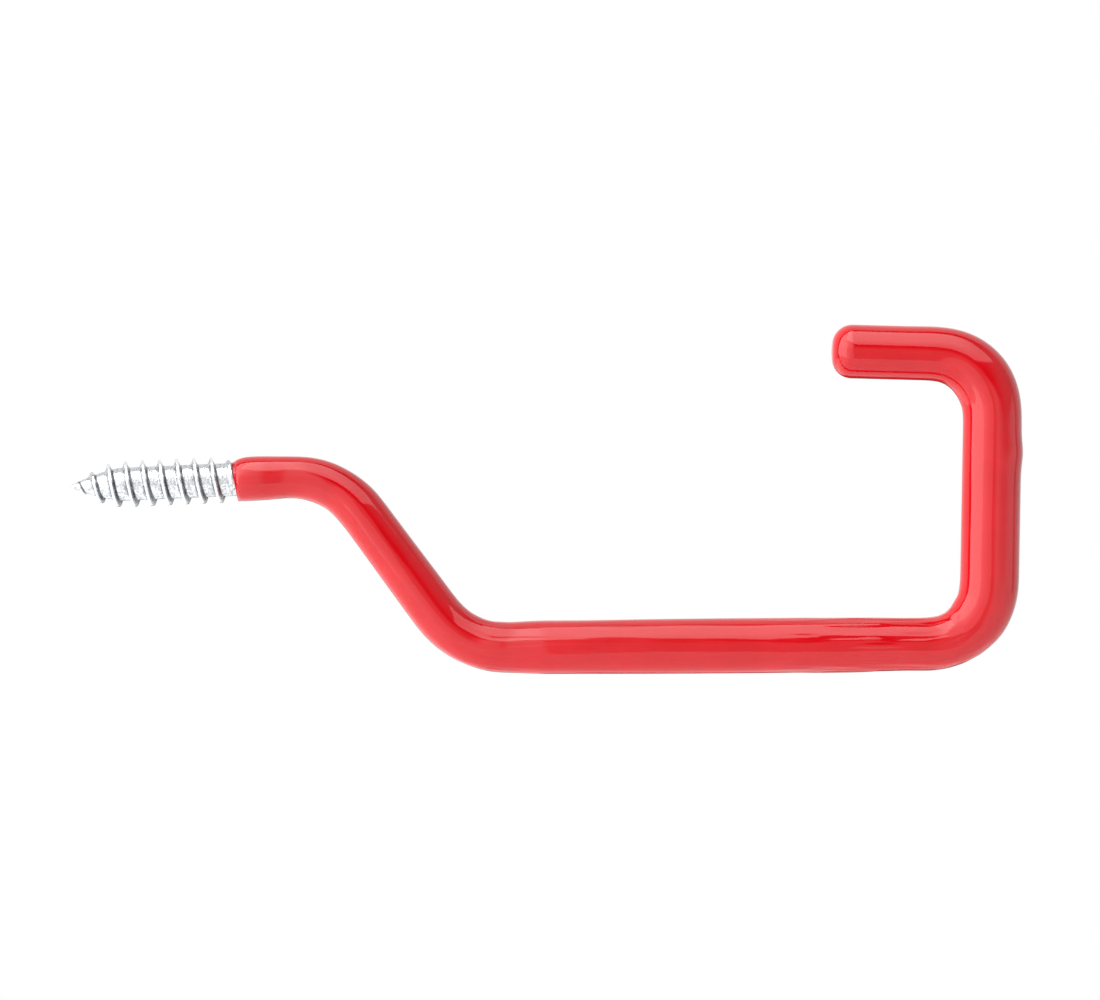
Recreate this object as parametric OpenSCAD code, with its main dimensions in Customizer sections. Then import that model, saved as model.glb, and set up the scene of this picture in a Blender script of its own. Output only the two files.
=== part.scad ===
// Screw-in utility hook: one steel rod with a rolled wood-screw thread, bent
// in one plane, and dipped in vinyl from the neck to the free end.
// The screw axis is X and points into the wall at -X. The origin lies on it,
// where the coat begins. The hook is bent in the XZ plane and opens upwards.

/* [Rod] */
// Diameter of the plain rod
rod_d = 7.9; // [6.8:0.1:9]

/* [Thread] */
// Length of the bare screw, from its tip to the mouth of the coat
screw_len = 35.3; // [28:0.1:50]
// Diameter over the crests
thread_major_d = 9.6; // [8.6:0.1:10.4]
// Diameter at the roots
thread_root_d = 6.9; // [6:0.1:7.4]
// Distance from crest to crest
thread_pitch = 3.6; // [3:0.1:4.5]
// Width of the flat crest
crest_w = 0.6; // [0.3:0.1:0.9]
// Width of the ridge where it leaves the core
ridge_w = 1.9; // [1.4:0.1:2.4]
// Length of the pointed tip
point_len = 11.5; // [8:0.1:15]
// Swelling of the point, where 1 is a straight cone
point_swell = 1.5; // [1:0.1:2]

/* [Bends] */
// Straight stretch from the mouth of the coat to the first bend
neck_len = 11.4; // [9:0.1:20]
// Straight stretch that slants down
drop_len = 26.9; // [15:0.1:45]
// Straight lower arm
arm_len = 89.3; // [50:0.1:130]
// Straight upright
rise_len = 36; // [25:0.1:60]
// Straight end that points back to the wall, to the end of the steel
return_len = 20; // [10:0.1:30]
// Centreline radius of the two bends beside the slanted stretch
drop_bend_r = 17.5; // [14:0.5:25]
// Centreline radius of the two bends of the bay
bay_bend_r = 12.5; // [11:0.5:18]
// Turn down, after the neck
drop_angle = 56; // [35:0.5:70]
// Turn back, into the arm
arm_angle = 54; // [35:0.5:70]
// Turn up, into the upright
rise_angle = 88.5; // [75:0.5:92]
// Turn back towards the wall
return_angle = 89.5; // [75:0.5:92]

/* [Coat] */
// Wall at the thin neck
neck_wall = 0.35; // [0.3:0.05:0.8]
// Wall on the slanted stretch
drop_wall = 1; // [0.6:0.05:1.5]
// Wall in the middle of the arm
arm_wall = 1.75; // [1:0.05:2.2]
// Wall at both ends of the arm, thinned by the dip
arm_end_wall = 1.5; // [0.9:0.05:2]
// Wall on the upright, where the vinyl gathered
rise_wall = 2.15; // [1.2:0.05:2.8]
// Wall on the returned end
return_wall = 1.6; // [1:0.05:2.2]
// Thickness over the end of the steel
end_wall = 1.6; // [1:0.1:3]
// Rounding of the free end
end_round = 4.2; // [2:0.1:5]
// How far the mouth of the coat slants, from top to bottom
mouth_slant = 1.2; // [0:0.1:3]
// Step of the coat at the lower edge of its mouth
mouth_step = 1.1; // [0.6:0.1:1.3]
// How much the wall rises and falls from place to place
wave = 0.12; // [0:0.02:0.2]
// Height of the run of vinyl on the outside of the upright
run_h = 0.3; // [0:0.05:0.8]
// How far up the upright the run is
run_up = 28; // [8:0.5:50]

/* [Hidden] */

rod_r = rod_d / 2;
root_r = thread_root_d / 2;
ridge_h = (thread_major_d - thread_root_d) / 2;

// The thread runs out at the mouth, and the rod swells to its full diameter
// under the coat
swell_from = 1.6;
swell_to = 3.2;

// Sides of every ring, which are also the steps in a turn of the thread
sides = 30;
steel_chamfer = 0.8;

// Rows of points: the distance between them on a straight and the angle round
// a bend. The bare straights of the rod need no row between their ends.
rod_step = 200;
rod_bend_angle = 8;
coat_step = 3.2;
coat_bend_angle = 7;
row_gap = 0.5;
mouth_rows = 5;
end_round_angle = 15;

// The ridge of the thread grows in from the point and runs out at the mouth.
// Its angles are counted from +Y through +Z, so that it rises right-handed.
ridge_start = -screw_len + 1.5;
ridge_end = -0.5;
ridge_rows = floor((ridge_end - ridge_start) / thread_pitch * sides);
end_angle = 198;
fade_in_turns = 1.6;
fade_out_turns = 0.6;
least_ridge = 0.08;

// Rings are counted the other way, from the left of the centreline, and meet
// the rows of the thread corner to corner
function row_angle(j) = 90 - end_angle - 360 * j / sides;

// Each stretch: straight length, bend radius, turn (up is positive)
STRETCHES = [
    [neck_len, drop_bend_r, -drop_angle],
    [drop_len, drop_bend_r, arm_angle],
    [arm_len, bay_bend_r, rise_angle],
    [rise_len, bay_bend_r, return_angle],
    [return_len, 0, 0]
];
LAST = len(STRETCHES) - 1;

// Arc length of a bend, and distance along the centreline to a stretch
function bend_len(i) = STRETCHES[i][1] * abs(STRETCHES[i][2]) * PI / 180;
function straight_from(i) = i == 0 ? 0 : bend_from(i - 1) + bend_len(i - 1);
function bend_from(i) = straight_from(i) + STRETCHES[i][0];

// A place is [x, z, heading]. It is carried along a straight or round a bend.
function ahead(place, dist) =
    [place[0] + dist * cos(place[2]), place[1] + dist * sin(place[2]), place[2]];
function turned(place, radius, angle) =
    let (side = sign(angle), to = place[2] + angle)
    [place[0] + side * radius * (sin(to) - sin(place[2])),
     place[1] - side * radius * (cos(to) - cos(place[2])),
     to];
function start_of(i) =
    i == 0 ? [0, 0, 0]
    : turned(ahead(start_of(i - 1), STRETCHES[i - 1][0]),
             STRETCHES[i - 1][1], STRETCHES[i - 1][2]);

// Core of the screw at a distance from its tip: a swelling point, then the root
function core_r(d) =
    d >= point_len ? root_r : root_r * (1 - pow(1 - max(d, 0) / point_len, point_swell));

// One row across the ridge at step k of the helix: foot, crest, crest, foot
function ridge_row(k) =
    let (
        done = k / sides,
        left = (ridge_rows - k) / sides,
        grown = max(min(1, done / fade_in_turns, left / fade_out_turns), least_ridge),
        a = end_angle - left * 360,
        centre = ridge_end - left * thread_pitch
    )
    [for (p = [[-ridge_w / 2, 0], [-crest_w / 2, 1], [crest_w / 2, 1], [ridge_w / 2, 0]])
        let (
            x = centre + p[0] * max(grown, 2 * least_ridge),
            r = core_r(x + screw_len) + p[1] * ridge_h * grown
        )
        [x, r * cos(a), r * sin(a)]];

// A skin over rows of points, closed at both ends
module skin(rows) {
    n = len(rows[0]);
    last = len(rows) - 1;
    points = [for (row = rows) each row];
    walls = [
        for (k = [0 : last - 1], j = [0 : n - 1])
            let (a = k * n + j, b = k * n + (j + 1) % n)
            each [[a, b, b + n], [a, b + n, a + n]]
    ];
    first_cap = [for (j = [n - 1 : -1 : 0]) j];
    last_cap = [for (j = [0 : n - 1]) last * n + j];
    polyhedron(points, concat(walls, [first_cap, last_cap]));
}

// Distances of the rows along the centreline: a few on a straight, and one
// for every few degrees of a bend
function rows_along(straight_step, bend_angle) = [
    for (i = [0 : LAST])
        let (n = max(1, round(STRETCHES[i][0] / straight_step)))
        each [for (k = [1 : n]) straight_from(i) + STRETCHES[i][0] * k / n],
    for (i = [0 : LAST - 1])
        let (n = ceil(abs(STRETCHES[i][2]) / bend_angle))
        each [for (k = [1 : n]) bend_from(i) + bend_len(i) * k / n]
];

// The place on the centreline at a distance from the mouth of the coat
function stretch_at(dist, i = 0) =
    i == LAST || dist < straight_from(i + 1) ? i : stretch_at(dist, i + 1);
function place_at(dist) =
    let (
        i = stretch_at(dist),
        along = dist - straight_from(i),
        straight = STRETCHES[i][0],
        bent = along - straight
    )
    i == LAST || along <= straight
        ? ahead(start_of(i), along)
        : turned(ahead(start_of(i), straight), STRETCHES[i][1],
                 STRETCHES[i][2] * bent / bend_len(i));

// A ring across the centreline. Angle 0 is on its left, which is up at the neck.
function ring_point(place, r, a) =
    [place[0] - r * cos(a) * sin(place[2]), r * sin(a), place[1] + r * cos(a) * cos(place[2])];

function reversed(list) = [for (i = [len(list) - 1 : -1 : 0]) list[i]];
function sorted(list) =
    len(list) <= 1 ? list
    : let (
        pivot = list[floor(len(list) / 2)],
        less = [for (v = list) if (v < pivot) v],
        same = [for (v = list) if (v == pivot) v],
        more = [for (v = list) if (v > pivot) v]
    )
    concat(sorted(less), same, sorted(more));

// Rows of the steel, as [distance from the mouth, radius]
STEEL_END = straight_from(LAST) + return_len;
BAR_ROWS = concat(
    [[swell_from, root_r], [swell_to, rod_r]],
    [for (d = sorted(rows_along(rod_step, rod_bend_angle)))
        if (d > swell_to && d < STEEL_END - steel_chamfer) [d, rod_r]],
    [[STEEL_END - steel_chamfer, rod_r], [STEEL_END, rod_r - steel_chamfer]]
);

function round_row(dist, r) =
    [for (j = [0 : sides - 1]) ring_point(place_at(dist), r, row_angle(j))];

// The steel is one skin: the point, the helix of the thread with its valley
// between one turn and the next, and then the rows of the bent bar
module steel_skin() {
    points = concat(
        [[-screw_len, 0, 0]],
        [for (k = [0 : ridge_rows]) each ridge_row(k)],
        [for (row = BAR_ROWS) each round_row(row[0], row[1])]
    );
    tip = 0;
    K = ridge_rows;
    N = sides;
    function on_ridge(k, c) = 1 + 4 * k + c;
    function on_bar(i, j) = on_ridge(K + 1, 0) + i * N + j % N;
    function cell(l, l_next, r, r_next) = [[l, l_next, r_next], [l, r_next, r]];

    ridge = [
        for (k = [0 : K - 1], c = [0 : 2])
            each cell(on_ridge(k, c), on_ridge(k + 1, c), on_ridge(k, c + 1), on_ridge(k + 1, c + 1))
    ];
    valley = [
        for (k = [0 : K - N - 1])
            each cell(on_ridge(k, 3), on_ridge(k + 1, 3), on_ridge(k + N, 0), on_ridge(k + N + 1, 0))
    ];
    point = [for (k = [0 : N - 2]) [tip, on_ridge(k + 1, 0), on_ridge(k, 0)]];
    shank = [
        for (k = [K - N + 1 : K - 1])
            each cell(on_ridge(k, 3), on_ridge(k + 1, 3), on_bar(0, k - K + N), on_bar(0, k + 1 - K + N))
    ];
    // Where the ridge begins and ends, its own end face and the cells beside it
    first_end = let (beside = on_ridge(N - 1, 0)) [
        [for (c = [0 : 3]) on_ridge(0, c)],
        [beside, tip, on_ridge(0, 0)],
        [beside, on_ridge(0, 0), on_ridge(0, 3)],
        [beside, on_ridge(0, 3), on_ridge(N, 0)]
    ];
    last_end = let (beside = on_ridge(K - N + 1, 3)) [
        [for (c = [3 : -1 : 0]) on_ridge(K, c)],
        [beside, on_bar(0, 1), on_bar(0, 0)],
        [beside, on_bar(0, 0), on_ridge(K, 3)],
        [beside, on_ridge(K, 3), on_ridge(K, 0)],
        [beside, on_ridge(K, 0), on_ridge(K - N, 3)]
    ];
    bar = [
        for (i = [0 : len(BAR_ROWS) - 2], j = [0 : N - 1])
            each cell(on_bar(i, j), on_bar(i, j + 1), on_bar(i + 1, j), on_bar(i + 1, j + 1))
    ];
    cut_end = [[for (j = [0 : N - 1]) on_bar(len(BAR_ROWS) - 1, j)]];
    polyhedron(points, concat(ridge, valley, point, shank, first_end, last_end, bar, cut_end));
}

module steel_rod() {
    color("gainsboro")
        steel_skin();
}

// The mouth: feathered on top, a step at the bottom, and a swell over the
// end of the thread behind it
mouth_feather = 0.15;
swell_at = 4;
swell_wall = 0.7;

// Wall of the coat along the hook: it is thin at the neck, gathers on the
// upright and evens out on the returned end
COAT_WALLS = [
    [swell_at, swell_wall],
    [0.5 * neck_len, neck_wall + wave],
    [0.8 * neck_len, neck_wall],
    [bend_from(0), neck_wall],
    [bend_from(0) + 0.5 * bend_len(0), neck_wall + 2 * wave],
    [straight_from(1), drop_wall - wave],
    [bend_from(1), drop_wall + wave / 2],
    [bend_from(1) + 0.5 * bend_len(1), drop_wall + wave / 2],
    [straight_from(2), arm_end_wall - 2 * wave],
    [straight_from(2) + 0.1 * arm_len, arm_wall - 1.5 * wave],
    [straight_from(2) + 0.5 * arm_len, arm_wall],
    [straight_from(2) + 0.8 * arm_len, arm_wall - wave / 2],
    [straight_from(2) + 0.95 * arm_len, arm_end_wall],
    [bend_from(2) + 0.3 * bend_len(2), arm_end_wall],
    [bend_from(2) + 0.7 * bend_len(2), rise_wall - wave],
    [straight_from(3), rise_wall],
    [bend_from(3), rise_wall],
    [bend_from(3) + 0.35 * bend_len(3), rise_wall + wave / 2],
    [bend_from(3) + 0.7 * bend_len(3), (rise_wall + return_wall) / 2],
    [straight_from(LAST), return_wall]
];

// The run of vinyl on the outside of the upright
run_at = straight_from(3) + run_up;
run_spread = 3.5;

function mouth_r(a) =
    root_r + mouth_feather + (mouth_step - mouth_feather) * (1 - cos(a)) / 2;
function near_mouth(dist) = pow(1 - min(dist, swell_at) / swell_at, 2);
function coat_r(dist, a) =
    let (
        plain = rod_r + lookup(dist, COAT_WALLS),
        run = run_h * exp(-pow((dist - run_at) / run_spread, 2)) * pow(max(0, -cos(a)), 2)
    )
    plain + run + near_mouth(dist) * (mouth_r(a) - plain);

// How far a row lies ahead, so that it slants with the mouth
function slant_at(dist, a) = -mouth_slant / 2 * max(0, 1 - dist / swell_at) * cos(a);

function coat_row(dist) =
    [for (j = [0 : sides - 1])
        let (a = row_angle(j))
        ring_point(place_at(dist + slant_at(dist, a)), coat_r(dist, a), a)];

// The lip, where the coat meets the root of the thread
function lip_row() =
    [for (j = [0 : sides - 1])
        let (a = row_angle(j))
        ring_point(place_at(slant_at(0, a)), root_r, a)];

// The free end: a flat face with a wide rounding
function end_row(t) =
    let (r = rod_r + return_wall, round_r = min(end_round, r))
    round_row(STEEL_END + end_wall - round_r * (1 - sin(t)), r - round_r * (1 - cos(t)));

// One skin: from the free end along the outside to the mouth, and back along
// the steel
module vinyl_coat() {
    tip_from = STEEL_END + end_wall - end_round;
    dists = [for (d = sorted(rows_along(coat_step, coat_bend_angle)))
        if (d > swell_at && d < tip_from - row_gap) d];
    outside = concat(
        [for (k = [0 : mouth_rows]) coat_row(swell_at * k / mouth_rows)],
        [for (d = dists) coat_row(d)],
        [for (t = [0 : end_round_angle : 90]) end_row(t)]
    );
    inside = concat([lip_row()], [for (row = BAR_ROWS) round_row(row[0], row[1])]);
    color("crimson")
        skin(concat(reversed(inside), outside));
}

steel_rod();
vinyl_coat();
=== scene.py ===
"""Screw-in utility hook: the zinc-plated screw and the dipped red vinyl coat, dressed for the render."""

import math

import bmesh
import bpy
from mathutils import Matrix, Vector


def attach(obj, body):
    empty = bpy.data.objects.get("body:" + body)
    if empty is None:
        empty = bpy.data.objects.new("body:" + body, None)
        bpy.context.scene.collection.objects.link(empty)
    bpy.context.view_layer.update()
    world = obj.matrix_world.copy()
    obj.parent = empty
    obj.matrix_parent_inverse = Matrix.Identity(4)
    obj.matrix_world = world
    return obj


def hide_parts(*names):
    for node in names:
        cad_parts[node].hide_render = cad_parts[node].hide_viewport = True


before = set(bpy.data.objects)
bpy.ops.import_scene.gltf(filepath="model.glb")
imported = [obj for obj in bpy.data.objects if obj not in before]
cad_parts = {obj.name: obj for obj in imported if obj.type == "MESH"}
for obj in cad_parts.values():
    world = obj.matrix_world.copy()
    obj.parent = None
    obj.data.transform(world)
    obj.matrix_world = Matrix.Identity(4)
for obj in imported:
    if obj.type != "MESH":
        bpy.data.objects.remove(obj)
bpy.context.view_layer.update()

MM = 0.001
PI = math.pi

# The photograph: its size, and where the origin of the hook and its screw axis lie in it
PHOTO_W, PHOTO_H = 1100, 1000
ORIGIN_PX = (236.5, 479.33)
AXIS_TILT = math.radians(2.46)
MM_PER_PX = 0.21

# Steel, in millimetres
ROD_R = 3.95
ROOT_R = 3.45
SCREW_LEN = 35.3
CREST_R = 4.8
CREST_HALF = 0.2
FOOT_HALF = 0.85
PITCH = 3.6
POINT_LEN = 11.5
SWELL_FROM = 1.6
SWELL_TO = 3.2
STEEL_CHAMFER = 0.8
RIDGE_START = 1.5 - SCREW_LEN
RIDGE_END = -0.5

# The powers that swell the point and hollow the flanks, the turns in which the ridge grows and runs
# out, and the angle at which it ends
POINT_SWELL = 1.5
FLANK_HOLLOW = 1.7
GROW_TURNS = 1.6
RUN_OUT_TURNS = 0.6
END_ANGLE = math.radians(198)

# The bent centreline: straight length, bend radius and turn of each stretch
STRETCHES = [
    (11.4, 17.5, -56.0),
    (26.9, 17.5, 54.0),
    (89.3, 12.5, 88.5),
    (36.0, 12.5, 89.5),
    (20.0, 0.0, 0.0),
]

# How far before and after a bend the bar eases into it, and in how many steps
EASE = 3.0
EASE_STEPS = 3

# Coat, in millimetres
NECK_WALL = 0.45
DROP_WALL = 1.12
ARM_WALL = 1.84
ARM_END_WALL = 1.6
RISE_WALL = 2.22
RETURN_WALL = 1.7
END_WALL = 1.65
END_ROUND = 4.2
END_DOME = 0.1
MOUTH_SHIFT = 0.2
MOUTH_SLANT = 0.9
MOUTH_STEP = 1.15
MOUTH_FEATHER = 0.12
LIP_AT = 0.35
SWELL_AT = 4.0
SWELL_WALL = 0.7
WAVE = 0.12
RUN_H = 0.35
RUN_AFTER = 28.0
RUN_SPREAD = 3.0
CROOK_H = 0.2
RIPPLE_H = 0.025
STREAK_LEN = 12.0

# The skin's streaks: how many go round, their seed and their finer detail
STREAKS_AROUND = 6.0
STREAK_SEED = 3.0
STREAK_DETAIL = 0.6

# The powers that narrow gathered vinyl to its side and flare the mouth
LEAN_POWER = 2.0
MOUTH_FLARE = 3.3

# Fineness: sides, rows and columns, steps in millimetres and in degrees, and lengths that count as none
SIDES = 96
COAT_SIDES = 160
THREAD_COLUMNS = 37
ROUNDING_ROWS = 18
FACE_ROWS = 6
ROW_STEP = 0.9
BEND_STEP = 2.5
WELD = 0.002
NO_LEAN = 0.0001


def along(length):
    """Place (x, z, heading) on the centreline, in millimetres and radians."""
    x, z, heading = 0.0, 0.0, 0.0
    for straight, radius, turn in STRETCHES:
        turn = math.radians(turn)
        is_last = radius == 0
        if length <= straight or is_last:
            return (x + length * math.cos(heading), z + length * math.sin(heading), heading)
        x += straight * math.cos(heading)
        z += straight * math.sin(heading)
        length -= straight
        bend = radius * abs(turn)
        part = turn * min(length / bend, 1.0)
        side = math.copysign(1.0, turn)
        to = heading + part
        x += side * radius * (math.sin(to) - math.sin(heading))
        z -= side * radius * (math.cos(to) - math.cos(heading))
        heading = to
        if length <= bend:
            return (x, z, heading)
        length -= bend


def soft_place(length):
    """Place on the centreline with its bends eased in and out, as a bar takes them."""
    places = [along(length + EASE * k / EASE_STEPS) for k in range(-EASE_STEPS, EASE_STEPS + 1)]
    return tuple(sum(values) / len(places) for values in zip(*places))


def stretch_marks():
    """Distance at which each straight begins and at which each bend begins."""
    straights, bends, s = [], [], 0.0
    for straight, radius, turn in STRETCHES:
        straights.append(s)
        s += straight
        bends.append(s)
        s += radius * abs(math.radians(turn))
    return straights, bends


STRAIGHT_FROM, BEND_FROM = stretch_marks()
STEEL_END = BEND_FROM[-1]
COAT_END = STEEL_END + END_WALL


def bend_len(i):
    """Length of a bend along the centreline."""
    return STRAIGHT_FROM[i + 1] - BEND_FROM[i]


# The coat's wall on the rod along the hook, as (distance, wall)
WALLS = [
    (SWELL_AT, SWELL_WALL),
    (BEND_FROM[0], NECK_WALL),
    (BEND_FROM[0] + 0.5 * bend_len(0), NECK_WALL + 2 * WAVE),
    (STRAIGHT_FROM[1], DROP_WALL - WAVE),
    (BEND_FROM[1], DROP_WALL + 0.5 * WAVE),
    (BEND_FROM[1] + 0.5 * bend_len(1), DROP_WALL + 0.5 * WAVE),
    (STRAIGHT_FROM[2], ARM_END_WALL - 2 * WAVE),
    (STRAIGHT_FROM[2] + 9, ARM_WALL - 1.5 * WAVE),
    (STRAIGHT_FROM[2] + 45, ARM_WALL),
    (STRAIGHT_FROM[2] + 71, ARM_WALL - 0.5 * WAVE),
    (BEND_FROM[2] - 5, ARM_END_WALL),
    (BEND_FROM[2] + 0.3 * bend_len(2), ARM_END_WALL),
    (BEND_FROM[2] + 0.7 * bend_len(2), RISE_WALL - WAVE),
    (STRAIGHT_FROM[3], RISE_WALL),
    (BEND_FROM[3], RISE_WALL),
    (BEND_FROM[3] + 0.3 * bend_len(3), RISE_WALL + 0.5 * WAVE),
    (STRAIGHT_FROM[4], RETURN_WALL),
    (COAT_END, RETURN_WALL),
]

# Vinyl that gathered on one side, as (middle, spread, height, side): 1 is the inside of the hook
GATHERED = [
    (BEND_FROM[2] + 0.5 * bend_len(2), 5.0, CROOK_H, 1),
    (BEND_FROM[3] + 0.5 * bend_len(3), 9.0, 0.5 * CROOK_H, 1),
    (BEND_FROM[3] + 0.6 * bend_len(3), 8.0, 2 * CROOK_H, -1),
    (STRAIGHT_FROM[3] + RUN_AFTER, RUN_SPREAD, RUN_H, -1),
]

# How wavy the skin is along the hook, as (distance, height)
RIPPLES = [
    (BEND_FROM[1], RIPPLE_H),
    (STRAIGHT_FROM[2], 6 * RIPPLE_H),
    (STRAIGHT_FROM[2] + 14, 2 * RIPPLE_H),
    (STRAIGHT_FROM[2] + 50, 1.5 * RIPPLE_H),
    (BEND_FROM[2] - 14, 10 * RIPPLE_H),
    (BEND_FROM[2] + 6, 6 * RIPPLE_H),
    (BEND_FROM[2] + 12, RIPPLE_H),
    (STRAIGHT_FROM[3], 0.5 * RIPPLE_H),
]


def eased(table, at):
    """Value between the table's marks, with a soft step from one to the next."""
    if at <= table[0][0]:
        return table[0][1]
    for (a, va), (b, vb) in zip(table, table[1:]):
        if at <= b:
            t = (at - a) / (b - a)
            return va + (vb - va) * t * t * (3 - 2 * t)
    return table[-1][1]


def row_distances(first, last):
    """Even rows on the straights and closer ones round the bends."""
    rows = [first]
    for i, (straight, radius, turn) in enumerate(STRETCHES):
        n = max(1, round(straight / ROW_STEP))
        rows += [STRAIGHT_FROM[i] + straight * k / n for k in range(1, n + 1)]
        if radius:
            n = math.ceil(abs(turn) / BEND_STEP)
            rows += [BEND_FROM[i] + bend_len(i) * k / n for k in range(1, n + 1)]
    return [first] + [s for s in rows if first < s < last] + [last]


# Geometry Nodes helpers
class Tree:
    """A geometry node tree with named inputs and short calls for its nodes."""

    def __init__(self, name):
        self.tree = bpy.data.node_groups.new(name, "GeometryNodeTree")
        self.tree.interface.new_socket("Geometry", in_out="INPUT", socket_type="NodeSocketGeometry")
        self.tree.interface.new_socket("Geometry", in_out="OUTPUT", socket_type="NodeSocketGeometry")
        self.given = self.tree.nodes.new("NodeGroupInput")
        self.out = self.tree.nodes.new("NodeGroupOutput")

    def value(self, name, default, kind="NodeSocketFloat"):
        socket = self.tree.interface.new_socket(name, in_out="INPUT", socket_type=kind)
        socket.default_value = default
        return self.given.outputs[name]

    def node(self, kind, settings=None, **inputs):
        made = self.tree.nodes.new(kind)
        for key, setting in (settings or {}).items():
            setattr(made, key, setting)
        for key, source in inputs.items():
            self.join(source, made.inputs[key.replace("_", " ")])
        return made

    def join(self, source, socket):
        if isinstance(source, bpy.types.NodeSocket):
            self.tree.links.new(source, socket)
        else:
            socket.default_value = source

    def math(self, operation, *sources, clamp=False):
        made = self.tree.nodes.new("ShaderNodeMath")
        made.operation = operation
        made.use_clamp = clamp
        for source, socket in zip(sources, made.inputs):
            self.join(source, socket)
        return made.outputs[0]

    def read(self, name, kind="FLOAT"):
        held = self.node("GeometryNodeInputNamedAttribute", {"data_type": kind}, Name=name)
        return held.outputs["Attribute"]

    def mark(self, geometry, name, value):
        """Stores a number on every point, for the material to read."""
        stored = self.node("GeometryNodeStoreNamedAttribute", {"data_type": "FLOAT"}, Geometry=geometry)
        self.join(name, stored.inputs["Name"])
        self.join(value, stored.inputs["Value"])
        return stored.outputs[0]

    def finish(self, geometry, material):
        smooth = self.node("GeometryNodeSetShadeSmooth", Geometry=geometry)
        real = self.node("GeometryNodeRealizeInstances", Geometry=smooth.outputs[0])
        coloured = self.node("GeometryNodeSetMaterial", Geometry=real.outputs[0], Material=material)
        self.tree.links.new(coloured.outputs[0], self.out.inputs[0])
        return self.tree


def plain_mesh(name, start, tree, **values):
    """Runs a geometry tree on a start mesh and returns its result as a plain mesh."""
    maker = bpy.data.objects.new(name, start)
    bpy.context.scene.collection.objects.link(maker)
    modifier = maker.modifiers.new(name, "NODES")
    modifier.node_group = tree
    for item in tree.interface.items_tree:
        if item.in_out == "INPUT" and item.name in values:
            modifier[item.identifier] = values[item.name]
    depsgraph = bpy.context.evaluated_depsgraph_get()
    mesh = bpy.data.meshes.new_from_object(maker.evaluated_get(depsgraph))
    bpy.data.objects.remove(maker)
    return mesh


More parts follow.
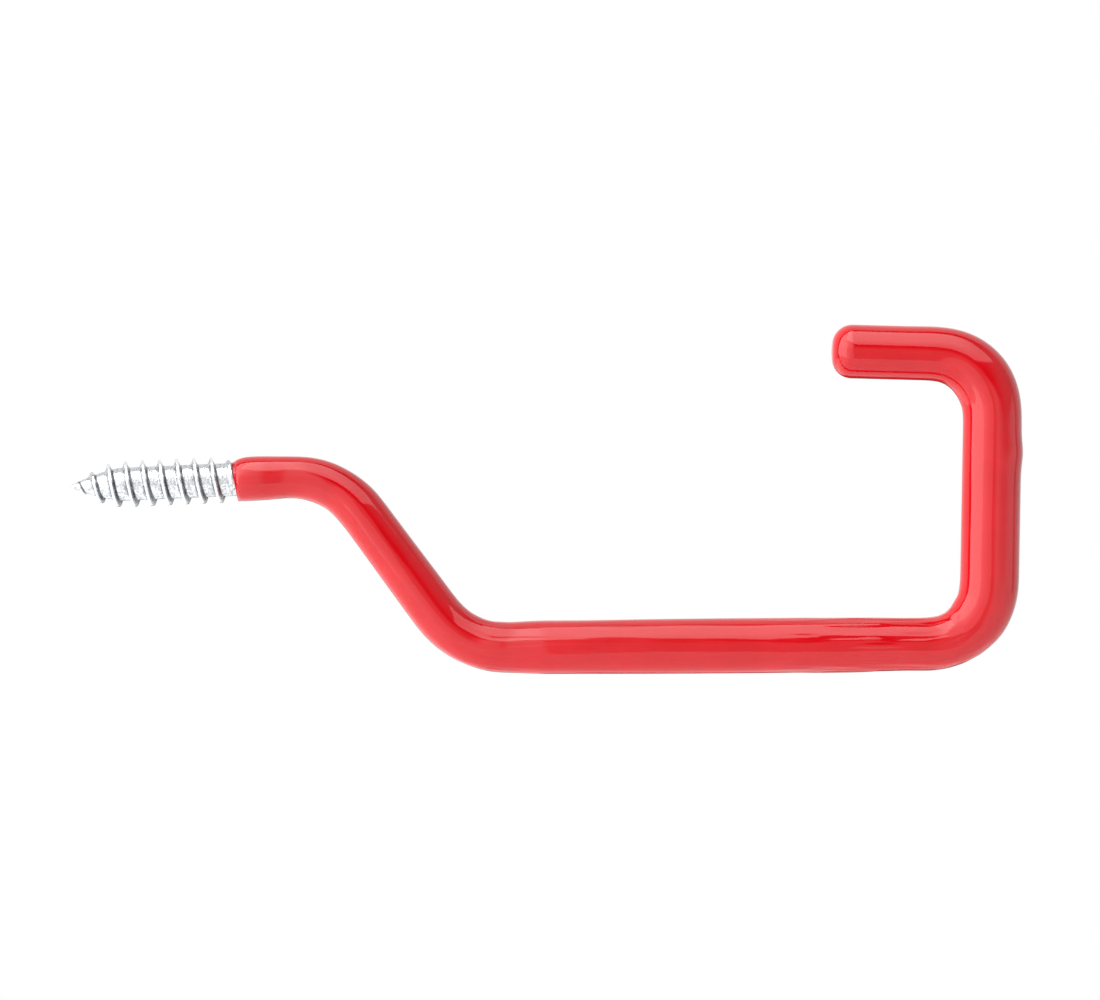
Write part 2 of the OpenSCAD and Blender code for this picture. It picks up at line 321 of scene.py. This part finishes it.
def thread_tree(material):
    """The skin of a pointed wood screw: one strip, as wide as the pitch, wound round the core.

    It is a grid bent by its own coordinates. One runs along the helix and the other across the ridge.
    The strip's borders meet from turn to turn and are welded.
    """
    t = Tree("wound screw thread")
    pitch = t.value("Pitch", PITCH * MM)
    root_r = t.value("Root Radius", ROOT_R * MM)
    ridge_h = t.value("Ridge Height", (CREST_R - ROOT_R) * MM)
    crest_half = t.value("Crest Half Width", CREST_HALF * MM)
    foot_half = t.value("Foot Half Width", FOOT_HALF * MM)
    hollow = t.value("Flank Hollow", FLANK_HOLLOW)
    length = t.value("Length", SCREW_LEN * MM)
    end = t.value("End", SWELL_FROM * MM)
    point = t.value("Point Length", POINT_LEN * MM)
    steps = t.value("Steps a Turn", SIDES, "NodeSocketInt")
    columns = t.value("Columns", THREAD_COLUMNS, "NodeSocketInt")
    grow_turns = t.value("Turns to Grow", GROW_TURNS)
    run_out_turns = t.value("Turns to Run Out", RUN_OUT_TURNS)
    ridge_start = t.value("Ridge Start", RIDGE_START * MM)
    ridge_end = t.value("Ridge End", RIDGE_END * MM)
    end_angle = t.value("End Angle", END_ANGLE)

    # Rows along the helix: half a turn more than the length at both ends, so that both borders close
    turns = t.math("ADD", t.math("DIVIDE", t.math("ADD", length, end), pitch), 1.0)
    rows = t.math("CEIL", t.math("MULTIPLY", turns, steps))
    grid = t.node(
        "GeometryNodeMeshGrid",
        Size_X=1.0,
        Size_Y=1.0,
        Vertices_X=t.math("ADD", rows, 1.0),
        Vertices_Y=columns,
    )
    place = t.node("GeometryNodeInputPosition")
    split = t.node("ShaderNodeSeparateXYZ", Vector=place.outputs[0])
    turn = t.math("DIVIDE", t.math("MULTIPLY", t.math("ADD", split.outputs[0], 0.5), rows), steps)
    across = t.math("MULTIPLY", split.outputs[1], pitch)
    first = t.math("SUBTRACT", t.math("MULTIPLY", length, -1.0), t.math("MULTIPLY", pitch, 0.5))
    centre = t.math("ADD", first, t.math("MULTIPLY", turn, pitch))
    before_end = t.math("MINIMUM", t.math("ADD", centre, across), end)
    x = t.math("MAXIMUM", before_end, t.math("MULTIPLY", length, -1.0))

    # Core: a swelling point and then the root radius
    reach = t.math("DIVIDE", t.math("ADD", x, length), point, clamp=True)
    short = t.math("POWER", t.math("SUBTRACT", 1.0, reach), POINT_SWELL)
    core = t.math("MULTIPLY", root_r, t.math("SUBTRACT", 1.0, short))

    # Ridge: full height over the crest, then a hollow flank down to the root on both sides
    flank = t.node("ShaderNodeMapRange", Value=t.math("ABSOLUTE", across))
    t.join(crest_half, flank.inputs[1])
    t.join(foot_half, flank.inputs[2])
    t.join(1.0, flank.inputs[3])
    t.join(0.0, flank.inputs[4])
    profile = t.math("POWER", flank.outputs[0], hollow)
    from_start = t.math("SUBTRACT", centre, ridge_start)
    grown_in = t.math("DIVIDE", from_start, t.math("MULTIPLY", pitch, grow_turns), clamp=True)
    to_end = t.math("SUBTRACT", ridge_end, centre)
    grown_out = t.math("DIVIDE", to_end, t.math("MULTIPLY", pitch, run_out_turns), clamp=True)
    grown = t.math("MINIMUM", grown_in, grown_out)
    ridge = t.math("MULTIPLY", t.math("MULTIPLY", ridge_h, grown), profile)
    r = t.math("ADD", core, ridge)

    # The angle is counted back from the end of the ridge, so that it rises right-handed
    left = t.math("DIVIDE", to_end, pitch)
    angle = t.math("SUBTRACT", end_angle, t.math("MULTIPLY", left, 2 * PI))
    y = t.math("MULTIPLY", r, t.math("COSINE", angle))
    z = t.math("MULTIPLY", r, t.math("SINE", angle))
    marked = t.mark(grid.outputs[0], "ridge", t.math("MULTIPLY", profile, grown))
    marked = t.mark(marked, "across", t.math("DIVIDE", across, pitch))
    bent = t.node("GeometryNodeSetPosition", Geometry=marked)
    t.join(t.node("ShaderNodeCombineXYZ", X=x, Y=y, Z=z).outputs[0], bent.inputs["Position"])
    welded = t.node("GeometryNodeMergeByDistance", Geometry=bent.outputs[0], Distance=WELD * MM)
    return t.finish(welded.outputs[0], material)


def sleeve_tree(material):
    """A tube along a bent line.

    Each point of the line holds its distance, the wall that stands on the rod there, the side to which
    more of it leans, and how wavy its skin is.
    """
    t = Tree("sleeve on a bent line")
    steel_r = t.value("Steel Radius", ROD_R * MM)
    sides = t.value("Sides", SIDES, "NodeSocketInt")
    streak_len = t.value("Streak Length", STREAK_LEN * MM)
    streaks = t.value("Streaks Around", STREAKS_AROUND)
    seed = t.value("Seed", STREAK_SEED)
    line = t.node("GeometryNodeMeshToCurve", Mesh=t.given.outputs["Geometry"])
    radius = t.math("ADD", steel_r, t.read("wall"))
    ring = t.node("GeometryNodeCurvePrimitiveCircle", Resolution=sides, Radius=1.0)
    tube = t.node(
        "GeometryNodeCurveToMesh",
        Curve=line.outputs[0],
        Profile_Curve=ring.outputs["Curve"],
        Scale=radius,
    )

    # The skin is lifted along its normal, toward the side that the wall leans to and by the ripples
    normal = t.node("GeometryNodeInputNormal").outputs[0]
    lean = t.node("ShaderNodeVectorMath", {"operation": "DOT_PRODUCT"})
    leaning = t.read("lean", "FLOAT_VECTOR")
    t.join(normal, lean.inputs[0])
    t.join(leaning, lean.inputs[1])
    around = t.node("ShaderNodeVectorMath", {"operation": "SCALE"}, Vector=normal, Scale=streaks)
    noise = t.node(
        "ShaderNodeTexNoise",
        {"noise_dimensions": "4D"},
        Vector=around.outputs[0],
        W=t.math("ADD", t.math("DIVIDE", t.read("along"), streak_len), seed),
        Scale=1.0,
        Detail=STREAK_DETAIL,
    )
    ripple = t.math("MULTIPLY", t.math("SUBTRACT", noise.outputs[0], 0.5), t.read("ripple"))
    most = t.node("ShaderNodeVectorMath", {"operation": "LENGTH"}, Vector=leaning).outputs["Value"]
    toward = t.math("MAXIMUM", lean.outputs["Value"], 0.0)
    facing = t.math("DIVIDE", toward, t.math("MAXIMUM", most, NO_LEAN * MM))
    lift = t.math("ADD", t.math("MULTIPLY", most, t.math("POWER", facing, LEAN_POWER)), ripple)
    off = t.node("ShaderNodeVectorMath", {"operation": "SCALE"}, Vector=normal, Scale=lift)
    uneven = t.node("GeometryNodeSetPosition", Geometry=tube.outputs[0], Offset=off.outputs[0])
    return t.finish(uneven.outputs[0], material)


def lean_at(s, heading):
    """Vector to the side where the vinyl gathered, as long as it is high."""
    inside = Vector((-math.sin(heading), 0.0, math.cos(heading)))
    lean = Vector()
    for middle, spread, height, side in GATHERED:
        lean += side * height * math.exp(-(((s - middle) / spread) ** 2)) * inside
    return lean


def line_mesh(name, rows, is_coat=False):
    """A line of edges along the centreline that holds the skin's measures. Rows are (distance, wall)."""
    mesh = bpy.data.meshes.new(name)
    places = [soft_place(s) for s, _ in rows]
    points = [(x * MM, 0.0, z * MM) for x, z, _ in places]
    mesh.from_pydata(points, [(i, i + 1) for i in range(len(points) - 1)], [])
    held = mesh.attributes
    for measure in ("along", "wall", "ripple"):
        held.new(measure, "FLOAT", "POINT")
    held.new("lean", "FLOAT_VECTOR", "POINT")
    for i, (s, wall) in enumerate(rows):
        held["along"].data[i].value = s * MM
        held["wall"].data[i].value = wall * MM
        if is_coat:
            held["lean"].data[i].vector = lean_at(s, places[i][2]) * MM
            held["ripple"].data[i].value = 2 * eased(RIPPLES, s) * MM
    return mesh


def open_loops(bm):
    """The open border loops of a mesh in the order of its edges, each as a list of them."""
    left = {e for e in bm.edges if e.is_boundary}
    loops = []
    for edge in bm.edges:
        if edge not in left:
            continue
        left.remove(edge)
        loop, ends = [edge], [edge.verts[1]]
        while ends:
            vert = ends.pop()
            for e in vert.link_edges:
                if e in left:
                    left.remove(e)
                    loop.append(e)
                    ends.append(e.other_vert(vert))
        loops.append(loop)
    return loops


def loop_centre(loop):
    """Middle of a ring of edges."""
    return sum((v.co for e in loop for v in e.verts), Vector()) / (2 * len(loop))


def close_skin(mesh, bridge_before):
    """Bridges the two open rings whose middle lies before a place near the mouth, and fills the rest."""
    bm = bmesh.new()
    bm.from_mesh(mesh)
    near = [loop for loop in open_loops(bm) if loop_centre(loop).x < bridge_before]
    bmesh.ops.bridge_loops(bm, edges=[e for loop in near for e in loop])
    for loop in open_loops(bm):
        bmesh.ops.holes_fill(bm, edges=loop, sides=0)
    bmesh.ops.recalc_face_normals(bm, faces=bm.faces)
    for face in bm.faces:
        face.smooth = True
    bm.to_mesh(mesh)
    bm.free()


def joined(name, material, *meshes):
    """One mesh from several, with every face in the one material."""
    bm = bmesh.new()
    for mesh in meshes:
        bm.from_mesh(mesh)
    for face in bm.faces:
        face.material_index = 0
    whole = bpy.data.meshes.new(name)
    bm.to_mesh(whole)
    bm.free()
    whole.materials.append(material)
    return whole


def piece(name, mesh, node):
    """Puts a mesh in the scene as a piece that rides on the root in place of its solid."""
    made = bpy.data.objects.new(name, mesh)
    bpy.context.scene.collection.objects.link(made)
    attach(made, "root")
    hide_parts(node)


def steel_rows():
    """Rows of the plain bar, as (distance, height over the rod's radius)."""
    chamfer_from = STEEL_END - STEEL_CHAMFER
    return [(s, 0.0) for s in row_distances(SWELL_TO, chamfer_from)] + [(STEEL_END, -STEEL_CHAMFER)]


def screw_and_rod(material):
    """The steel: the wound thread and the bent rod, bridged where the thread's swell ends."""
    thread = plain_mesh("thread", bpy.data.meshes.new("empty"), thread_tree(material))
    rod = plain_mesh("rod", line_mesh("rod line", steel_rows()), sleeve_tree(material))
    mesh = joined("steel_rod", material, thread, rod)
    close_skin(mesh, 2 * SWELL_TO * MM)
    return mesh


def tip_rows():
    """Rows of the free end, a nearly flat face with a wide rounding."""
    r = ROD_R + RETURN_WALL
    flat = r - END_ROUND
    rows = []
    for k in range(1, ROUNDING_ROWS + 1):
        t = 0.5 * PI * k / ROUNDING_ROWS
        rows.append((COAT_END - END_DOME - END_ROUND * (1 - math.sin(t)), flat + END_ROUND * math.cos(t)))
    for k in range(1, FACE_ROWS + 1):
        part = 1 - k / (FACE_ROWS + 0.5)
        rows.append((COAT_END - END_DOME * part * part, flat * part))
    return [(s, radius - ROD_R) for s, radius in rows]


def mouth_radius(up):
    """Radius of the coat's mouth, from its bottom at up -1 to its top at 1."""
    return ROOT_R + MOUTH_FEATHER + (MOUTH_STEP - MOUTH_FEATHER) * (1 - up) / 2


def shape_mouth(mesh):
    """Slants the mouth, feathers its top and steps its bottom."""
    for v in mesh.vertices:
        co = v.co / MM
        if co.x < SWELL_AT:
            r = math.hypot(co.y, co.z)
            up = co.z / r
            near = 1 - max(co.x, 0.0) / SWELL_AT
            r += near**MOUTH_FLARE * (mouth_radius(up) - r)
            x = co.x - (MOUTH_SHIFT + MOUTH_SLANT / 2 * up) * near
            side = math.atan2(co.y, co.z)
            v.co = Vector((x, r * math.sin(side), r * math.cos(side))) * MM


def dipped_coat(material):
    """The coat: an outer skin, and an inner one that has the rod's own faces."""
    rows = [(s, eased(WALLS, s)) for s in row_distances(0.0, COAT_END - END_DOME - END_ROUND)]
    tree = sleeve_tree(material)
    skin_line = line_mesh("outside line", rows + tip_rows(), is_coat=True)
    outside = plain_mesh("outside", skin_line, tree, Sides=COAT_SIDES)
    shape_mouth(outside)
    lip = [(LIP_AT, ROOT_R - ROD_R), (SWELL_FROM, ROOT_R - ROD_R)]
    inside = plain_mesh("inside", line_mesh("inside line", lip + steel_rows()), tree)
    mesh = joined("vinyl_coat", material, outside, inside)
    close_skin(mesh, 2 * SWELL_AT * MM)
    return mesh


# Materials
def material_of(name):
    mat = bpy.data.materials.new(name)
    mat.use_nodes = True
    shader = mat.node_tree.nodes["Principled BSDF"]
    return mat, mat.node_tree, shader


def add(tree, kind, settings=None, **inputs):
    """A node with its settings and inputs. An input is a socket to join or a value to set."""
    made = tree.nodes.new(kind)
    for key, setting in (settings or {}).items():
        setattr(made, key, setting)
    for key, source in inputs.items():
        link(tree, source, made.inputs[key.replace("_", " ")])
    return made


def link(tree, source, socket):
    if isinstance(source, bpy.types.NodeSocket):
        tree.links.new(source, socket)
    else:
        socket.default_value = source


def mapped(tree, source, edges, levels=(0.0, 1.0), smooth=False):
    """Goes from the first level to the second while the source goes from the first edge to the second."""
    kind = {"interpolation_type": "SMOOTHSTEP"} if smooth else None
    made = add(tree, "ShaderNodeMapRange", kind, Value=source)
    for name, value in zip(("From Min", "From Max", "To Min", "To Max"), (*edges, *levels)):
        made.inputs[name].default_value = value
    return made.outputs[0]


def mixed(tree, factor, low, high):
    """Colour between two colours."""
    made = add(tree, "ShaderNodeMix", {"data_type": "RGBA"}, Factor=factor)
    link(tree, low, made.inputs[6])
    link(tree, high, made.inputs[7])
    return made.outputs[2]


def worked(tree, operation, *sources):
    made = tree.nodes.new("ShaderNodeMath")
    made.operation = operation
    for source, socket in zip(sources, made.inputs):
        link(tree, source, socket)
    return made.outputs[0]


# Marks of the shared surface, as (usual size in millimetres, how finely it is drawn)
UNEVEN_MARKS = {"Patch": (10.0, 2.0), "Mottle": (1.0, 4.0), "Grain": (0.3, 2.0)}


def uneven_surface():
    """Group for anything that was dipped, plated or rolled: broad patches, mottling and fine grain."""
    tree = bpy.data.node_groups.new("uneven surface", "ShaderNodeTree")
    tree.interface.new_socket("Seed", in_out="INPUT", socket_type="NodeSocketFloat")
    for name, (size, _) in UNEVEN_MARKS.items():
        socket = tree.interface.new_socket(name + " Size", in_out="INPUT", socket_type="NodeSocketFloat")
        socket.default_value = size * MM
        tree.interface.new_socket(name, in_out="OUTPUT", socket_type="NodeSocketFloat")
    given = tree.nodes.new("NodeGroupInput")
    out = tree.nodes.new("NodeGroupOutput")
    coords = tree.nodes.new("ShaderNodeTexCoord")
    for name, (_, detail) in UNEVEN_MARKS.items():
        noise = add(
            tree,
            "ShaderNodeTexNoise",
            {"noise_dimensions": "4D"},
            Vector=coords.outputs["Object"],
            W=given.outputs["Seed"],
            Scale=worked(tree, "DIVIDE", 1.0, given.outputs[name + " Size"]),
            Detail=detail,
        )
        tree.links.new(noise.outputs[0], out.inputs[name])


def surface(tree, patch, mottle, grain, seed):
    """Patches, mottling and grain from the shared group, with their sizes in millimetres."""
    made = tree.nodes.new("ShaderNodeGroup")
    made.node_tree = bpy.data.node_groups["uneven surface"]
    made.inputs["Patch Size"].default_value = patch * MM
    made.inputs["Mottle Size"].default_value = mottle * MM
    made.inputs["Grain Size"].default_value = grain * MM
    made.inputs["Seed"].default_value = seed
    return [made.outputs[name] for name in UNEVEN_MARKS]


def bumped(tree, height, distance, under=None):
    """Normal of a surface that stands up to a distance in millimetres, over another normal."""
    made = add(tree, "ShaderNodeBump", Height=height, Distance=distance * MM)
    if under:
        tree.links.new(under, made.inputs["Normal"])
    return made.outputs[0]


def attribute(tree, name):
    return add(tree, "ShaderNodeAttribute", {"attribute_name": name}).outputs["Fac"]


# Tones of the zinc and of the vinyl
ZINC_BRIGHT = (0.66, 0.675, 0.695, 1)
ZINC_DULL = (0.49, 0.51, 0.53, 1)
ZINC_SPECK = (0.20, 0.21, 0.22, 1)
ZINC_FOOT_SHADE = (0.09, 0.094, 0.098, 1)
ZINC_CREST_WEAR_AND_GLINT = (0.82, 0.83, 0.85, 1)
ZINC_RIM_SHADE = (0.24, 0.25, 0.27, 1)
VINYL_DEEP = (0.72, 0.003, 0.009, 1)
VINYL_LIGHT = (0.78, 0.006, 0.014, 1)

# Where painted shade lies at the two feet of the ridge, in pitches from the ridge's middle
RIGHT_FOOT = 0.17
LEFT_FOOT = -0.26


def painted_foot_shade(tree, across, foot, width, most):
    """Painted shade that is darkest at a foot of the ridge and fades out on both sides of it."""
    off = worked(tree, "ABSOLUTE", worked(tree, "SUBTRACT", across, foot))
    return mapped(tree, off, width, (most, 0.0), smooth=True)


def zinc_plating():
    """Bright zinc with dull patches, painted shade in the corners of the thread and toward its
    silhouettes, and crests worn bright, partly real wear and partly a painted highlight.
    """
    mat, tree, shader = material_of("zinc plating")
    patches, mottle, grain = surface(tree, patch=2.6, mottle=0.5, grain=0.2, seed=5.0)
    dull = mapped(tree, mottle, (0.45, 0.58), smooth=True)
    specks = mapped(tree, mottle, (0.61, 0.67), (0.0, 0.8), smooth=True)
    across = attribute(tree, "across")
    # Painted shade at the feet of the ridge, strongest at its right foot, where the thread shades its
    # root
    right = painted_foot_shade(tree, across, RIGHT_FOOT, width=(0.03, 0.1), most=1.0)
    right = worked(tree, "MULTIPLY", right, mapped(tree, patches, (0.35, 0.6), (0.65, 1.0)))
    left = painted_foot_shade(tree, across, LEFT_FOOT, width=(0.01, 0.07), most=0.5)
    left = worked(tree, "MULTIPLY", left, mapped(tree, patches, (0.4, 0.6)))
    foot_shade = worked(tree, "MAXIMUM", right, left)
    # Crests worn bright: partly real wear and partly a painted highlight along the crest
    crest_wear_and_glint = mapped(tree, attribute(tree, "ridge"), (0.7, 0.98), smooth=True)
    # Painted shade: the colour darkens toward the silhouettes, where the surface is seen at a grazing
    # angle
    facing = add(tree, "ShaderNodeLayerWeight", Blend=0.5).outputs["Facing"]
    edge = mapped(tree, facing, (0.6, 0.95), (0.0, 0.35), smooth=True)
    colour = mixed(tree, dull, ZINC_BRIGHT, ZINC_DULL)
    colour = mixed(tree, specks, colour, ZINC_SPECK)
    colour = mixed(tree, foot_shade, colour, ZINC_FOOT_SHADE)
    colour = mixed(tree, crest_wear_and_glint, colour, ZINC_CREST_WEAR_AND_GLINT)
    colour = mixed(tree, edge, colour, ZINC_RIM_SHADE)
    polish = mapped(tree, patches, (0.3, 0.7), (0.09, 0.16))
    rough = worked(tree, "ADD", polish, mapped(tree, dull, (0.0, 1.0), (0.0, 0.34)))
    normal = bumped(tree, mottle, 0.07)
    normal = bumped(tree, grain, 0.015, under=normal)
    link(tree, colour, shader.inputs["Base Color"])
    link(tree, rough, shader.inputs["Roughness"])
    link(tree, normal, shader.inputs["Normal"])
    shader.inputs["Metallic"].default_value = 1.0
    return mat


def red_vinyl():
    """Dipped vinyl: an even red with a wet, slightly wavy skin."""
    mat, tree, shader = material_of("red vinyl")
    patches, mottle, _ = surface(tree, patch=7.0, mottle=1.6, grain=0.25, seed=11.0)
    colour = mixed(tree, mapped(tree, patches, (0.3, 0.7)), VINYL_DEEP, VINYL_LIGHT)
    normal = bumped(tree, patches, 0.03)
    normal = bumped(tree, mottle, 0.004, under=normal)
    link(tree, colour, shader.inputs["Base Color"])
    link(tree, mapped(tree, mottle, (0.3, 0.7), (0.05, 0.1)), shader.inputs["Roughness"])
    link(tree, normal, shader.inputs["Normal"])
    shader.inputs["IOR"].default_value = 1.5
    return mat


# Stage
def camera():
    """Camera straight in front of the photograph's middle, turned as the screw axis leans in it."""
    width = PHOTO_W * MM_PER_PX * MM
    lens, sensor = 120.0, 36.0
    distance = width * lens / sensor
    right = PHOTO_W / 2 - ORIGIN_PX[0]
    up = ORIGIN_PX[1] - PHOTO_H / 2
    c, s = math.cos(AXIS_TILT), math.sin(AXIS_TILT)
    x = (right * c + up * s) * MM_PER_PX * MM
    z = (up * c - right * s) * MM_PER_PX * MM
    data = bpy.data.cameras.new("camera")
    data.lens = lens
    data.sensor_width = sensor
    data.clip_start = 0.01
    cam = bpy.data.objects.new("camera", data)
    upright = Matrix.Translation((x, -distance, z)) @ Matrix.Rotation(PI / 2, 4, "X")
    cam.matrix_world = upright @ Matrix.Rotation(-AXIS_TILT, 4, "Z")
    bpy.context.scene.collection.objects.link(cam)
    bpy.context.scene.camera = cam


# Levels of light in the studio that reflections see, where 1 is white, and in the fill on the object
STUDIO = 0.64
LOW_RIGHT = 0.7
TOP_GLOW = 1.2
LEFT_GLOW = 1.0
LEFT_FRONT = 0.72
ABOVE_FRONT = 0.6
SIDE_WALL = 0.6
BACKDROP_FOOT = 0.08
FILL_LEFT = 1.33
FILL_RIGHT = 0.0

# Where each part of the studio begins and ends: x points right, y away from the camera and z up
LOW_RIGHT_X = (0.04, 0.35)
LOW_RIGHT_Z = (0.0, 0.25)
TOP_GLOW_X = (0.3, 0.6)
TOP_GLOW_Z = (0.45, 0.8)
LEFT_GLOW_X = (-0.9, -0.05)
LEFT_FRONT_X = (-0.035, 0.0)
ABOVE_FRONT_X = (0.0, 0.07)
ABOVE_FRONT_Z = (0.1, 0.45)
SIDE_WALL_X = (0.3, 0.9)
STUDIO_EDGE_Y = (0.02, 0.07)
BACKDROP_EDGE_Y = (0.19, 0.24)
BACKDROP_FOOT_Z = (-0.12, -0.02)
BESIDE_FOOT_X = (0.15, 0.3)

# The dark upper right corner's direction, and how near to it the light fades, as a cosine
DARK_CORNER = (0.52, -0.5, 0.69)
CORNER_EDGE = (0.62, 0.8)

# How much x and z count toward the right side of the fill, and where the fill begins and ends
FILL_X, FILL_Z = 0.95, 0.3
FILL_EDGE = (-0.8, 0.56)

# The floor, in metres: its outline and height, and its glow to the camera, mirrored and as light
FLOOR_OUTLINE = [(-0.6, -0.28), (0.8, -0.28), (0.8, 0.16), (0.07, 0.16), (0.0, 0.35), (-0.6, 0.35)]
FLOOR_Z = -0.16
FLOOR_SEEN = 0.8
FLOOR_MIRRORED = (1.0, 0.55)
FLOOR_MIRRORED_X = (-0.08, 0.03)
FLOOR_LIGHTING = 0.3

# Middle of the hook, in metres, at which the softboxes aim
AIM = (0.066, 0, -0.012)


def softbox(name, at, size, power, turn=0.0):
    """A lamp that aims at the middle of the hook, with its size in metres and its power in watts."""
    data = bpy.data.lights.new(name, "AREA")
    data.shape = "RECTANGLE"
    data.size, data.size_y = size
    data.energy = power
    lamp = bpy.data.objects.new(name, data)
    facing = (Vector(at) - Vector(AIM)).to_track_quat("Z", "X").to_matrix().to_4x4()
    lamp.matrix_world = Matrix.Translation(at) @ facing @ Matrix.Rotation(math.radians(turn), 4, "Z")
    bpy.context.scene.collection.objects.link(lamp)


def lights():
    softbox("top softbox", at=(0.24, -0.38, 0.75), size=(1.1, 0.88), power=5.36, turn=32)
    softbox("left softbox", at=(-0.75, -0.4, 0.12), size=(1.1, 1.0), power=3.5)


def studio_light(tree, toward, x, y, z):
    """Light that reflections see in each direction.

    The studio is bright above and on the left and dark in its upper right corner. Behind it come a dark
    gap and then the backdrop, which is dark at its foot.
    """
    low_right = worked(
        tree,
        "MULTIPLY",
        mapped(tree, x, LOW_RIGHT_X, (0.0, LOW_RIGHT), smooth=True),
        mapped(tree, z, LOW_RIGHT_Z, (1.0, 0.0), smooth=True),
    )
    corner = add(tree, "ShaderNodeVectorMath", {"operation": "DOT_PRODUCT"}, Vector=toward)
    corner.inputs[1].default_value = DARK_CORNER
    lit = mapped(tree, corner.outputs["Value"], CORNER_EDGE, (1.0, 0.0), smooth=True)
    studio = worked(tree, "MULTIPLY", worked(tree, "ADD", low_right, STUDIO), lit)
    top = worked(
        tree,
        "MULTIPLY",
        mapped(tree, z, TOP_GLOW_Z, (0.0, TOP_GLOW), smooth=True),
        mapped(tree, x, TOP_GLOW_X, (1.0, 0.0)),
    )
    left = mapped(tree, x, LEFT_GLOW_X, (LEFT_GLOW, 0.0), smooth=True)
    left_front = mapped(tree, x, LEFT_FRONT_X, (LEFT_FRONT, 0.0), smooth=True)
    above_front = worked(
        tree,
        "MULTIPLY",
        mapped(tree, x, ABOVE_FRONT_X, (ABOVE_FRONT, 0.0), smooth=True),
        mapped(tree, z, ABOVE_FRONT_Z, smooth=True),
    )
    for glow in (top, left, left_front, above_front):
        studio = worked(tree, "ADD", studio, glow)
    studio = worked(tree, "MULTIPLY", studio, mapped(tree, y, STUDIO_EDGE_Y, (1.0, 0.0), smooth=True))

    beside_foot = mapped(tree, worked(tree, "ABSOLUTE", x), BESIDE_FOOT_X)
    foot = worked(tree, "MAXIMUM", mapped(tree, z, BACKDROP_FOOT_Z, (BACKDROP_FOOT, 1.0)), beside_foot)
    backdrop = worked(tree, "MULTIPLY", mapped(tree, y, BACKDROP_EDGE_Y, smooth=True), foot)
    side_wall = mapped(tree, x, SIDE_WALL_X, (0.0, SIDE_WALL), smooth=True)
    return worked(tree, "MAXIMUM", worked(tree, "MAXIMUM", studio, backdrop), side_wall)


def white_world():
    """White to the camera, a studio in reflections, and a fill that is strongest on the left."""
    world = bpy.data.worlds.new("white sweep")
    bpy.context.scene.world = world
    world.use_nodes = True
    tree = world.node_tree
    background = tree.nodes["Background"]
    background.inputs["Color"].default_value = (1, 1, 1, 1)
    path = tree.nodes.new("ShaderNodeLightPath")
    toward = tree.nodes.new("ShaderNodeTexCoord").outputs["Generated"]
    split = add(tree, "ShaderNodeSeparateXYZ", Vector=toward)
    x, y, z = split.outputs["X"], split.outputs["Y"], split.outputs["Z"]
    mirrored = studio_light(tree, toward, x, y, z)
    side = worked(tree, "ADD", worked(tree, "MULTIPLY", x, FILL_X), worked(tree, "MULTIPLY", z, FILL_Z))
    fill = mapped(tree, side, FILL_EDGE, (FILL_LEFT, FILL_RIGHT))
    seen = add(tree, "ShaderNodeMix", Factor=path.outputs["Is Glossy Ray"], A=fill, B=mirrored).outputs[0]
    shown = add(tree, "ShaderNodeMix", Factor=path.outputs["Is Camera Ray"], A=seen, B=1.0).outputs[0]
    link(tree, shown, background.inputs["Strength"])


def floor():
    """A pale table below the hook, out of the picture, that ends sooner behind the arm.

    The camera and reflections see it glow, more on the left, and it lights the hook from below.
    """
    mesh = bpy.data.meshes.new("floor")
    mesh.from_pydata([(x, y, FLOOR_Z) for x, y in FLOOR_OUTLINE], [], [range(len(FLOOR_OUTLINE))])
    mat, tree, shader = material_of("pale floor")
    shader.inputs["Base Color"].default_value = (0.9, 0.9, 0.9, 1)
    shader.inputs["Roughness"].default_value = 0.9
    shader.inputs["Emission Color"].default_value = (1, 1, 1, 1)
    path = tree.nodes.new("ShaderNodeLightPath")
    seen = worked(tree, "MULTIPLY", path.outputs["Is Camera Ray"], FLOOR_SEEN)
    coords = tree.nodes.new("ShaderNodeTexCoord")
    place = add(tree, "ShaderNodeSeparateXYZ", Vector=coords.outputs["Object"])
    bright = mapped(tree, place.outputs["X"], FLOOR_MIRRORED_X, FLOOR_MIRRORED)
    mirrored = worked(tree, "MULTIPLY", path.outputs["Is Glossy Ray"], bright)
    lighting = worked(tree, "MULTIPLY", path.outputs["Is Diffuse Ray"], FLOOR_LIGHTING)
    glow = worked(tree, "ADD", worked(tree, "ADD", seen, mirrored), lighting)
    link(tree, glow, shader.inputs["Emission Strength"])
    mesh.materials.append(mat)
    ground = bpy.data.objects.new("floor", mesh)
    bpy.context.scene.collection.objects.link(ground)


bpy.context.scene.view_settings.view_transform = "Standard"
camera()
lights()
white_world()
floor()
uneven_surface()
piece("screw_and_rod", screw_and_rod(zinc_plating()), "steel_rod")
piece("dipped_coat", dipped_coat(red_vinyl()), "vinyl_coat")
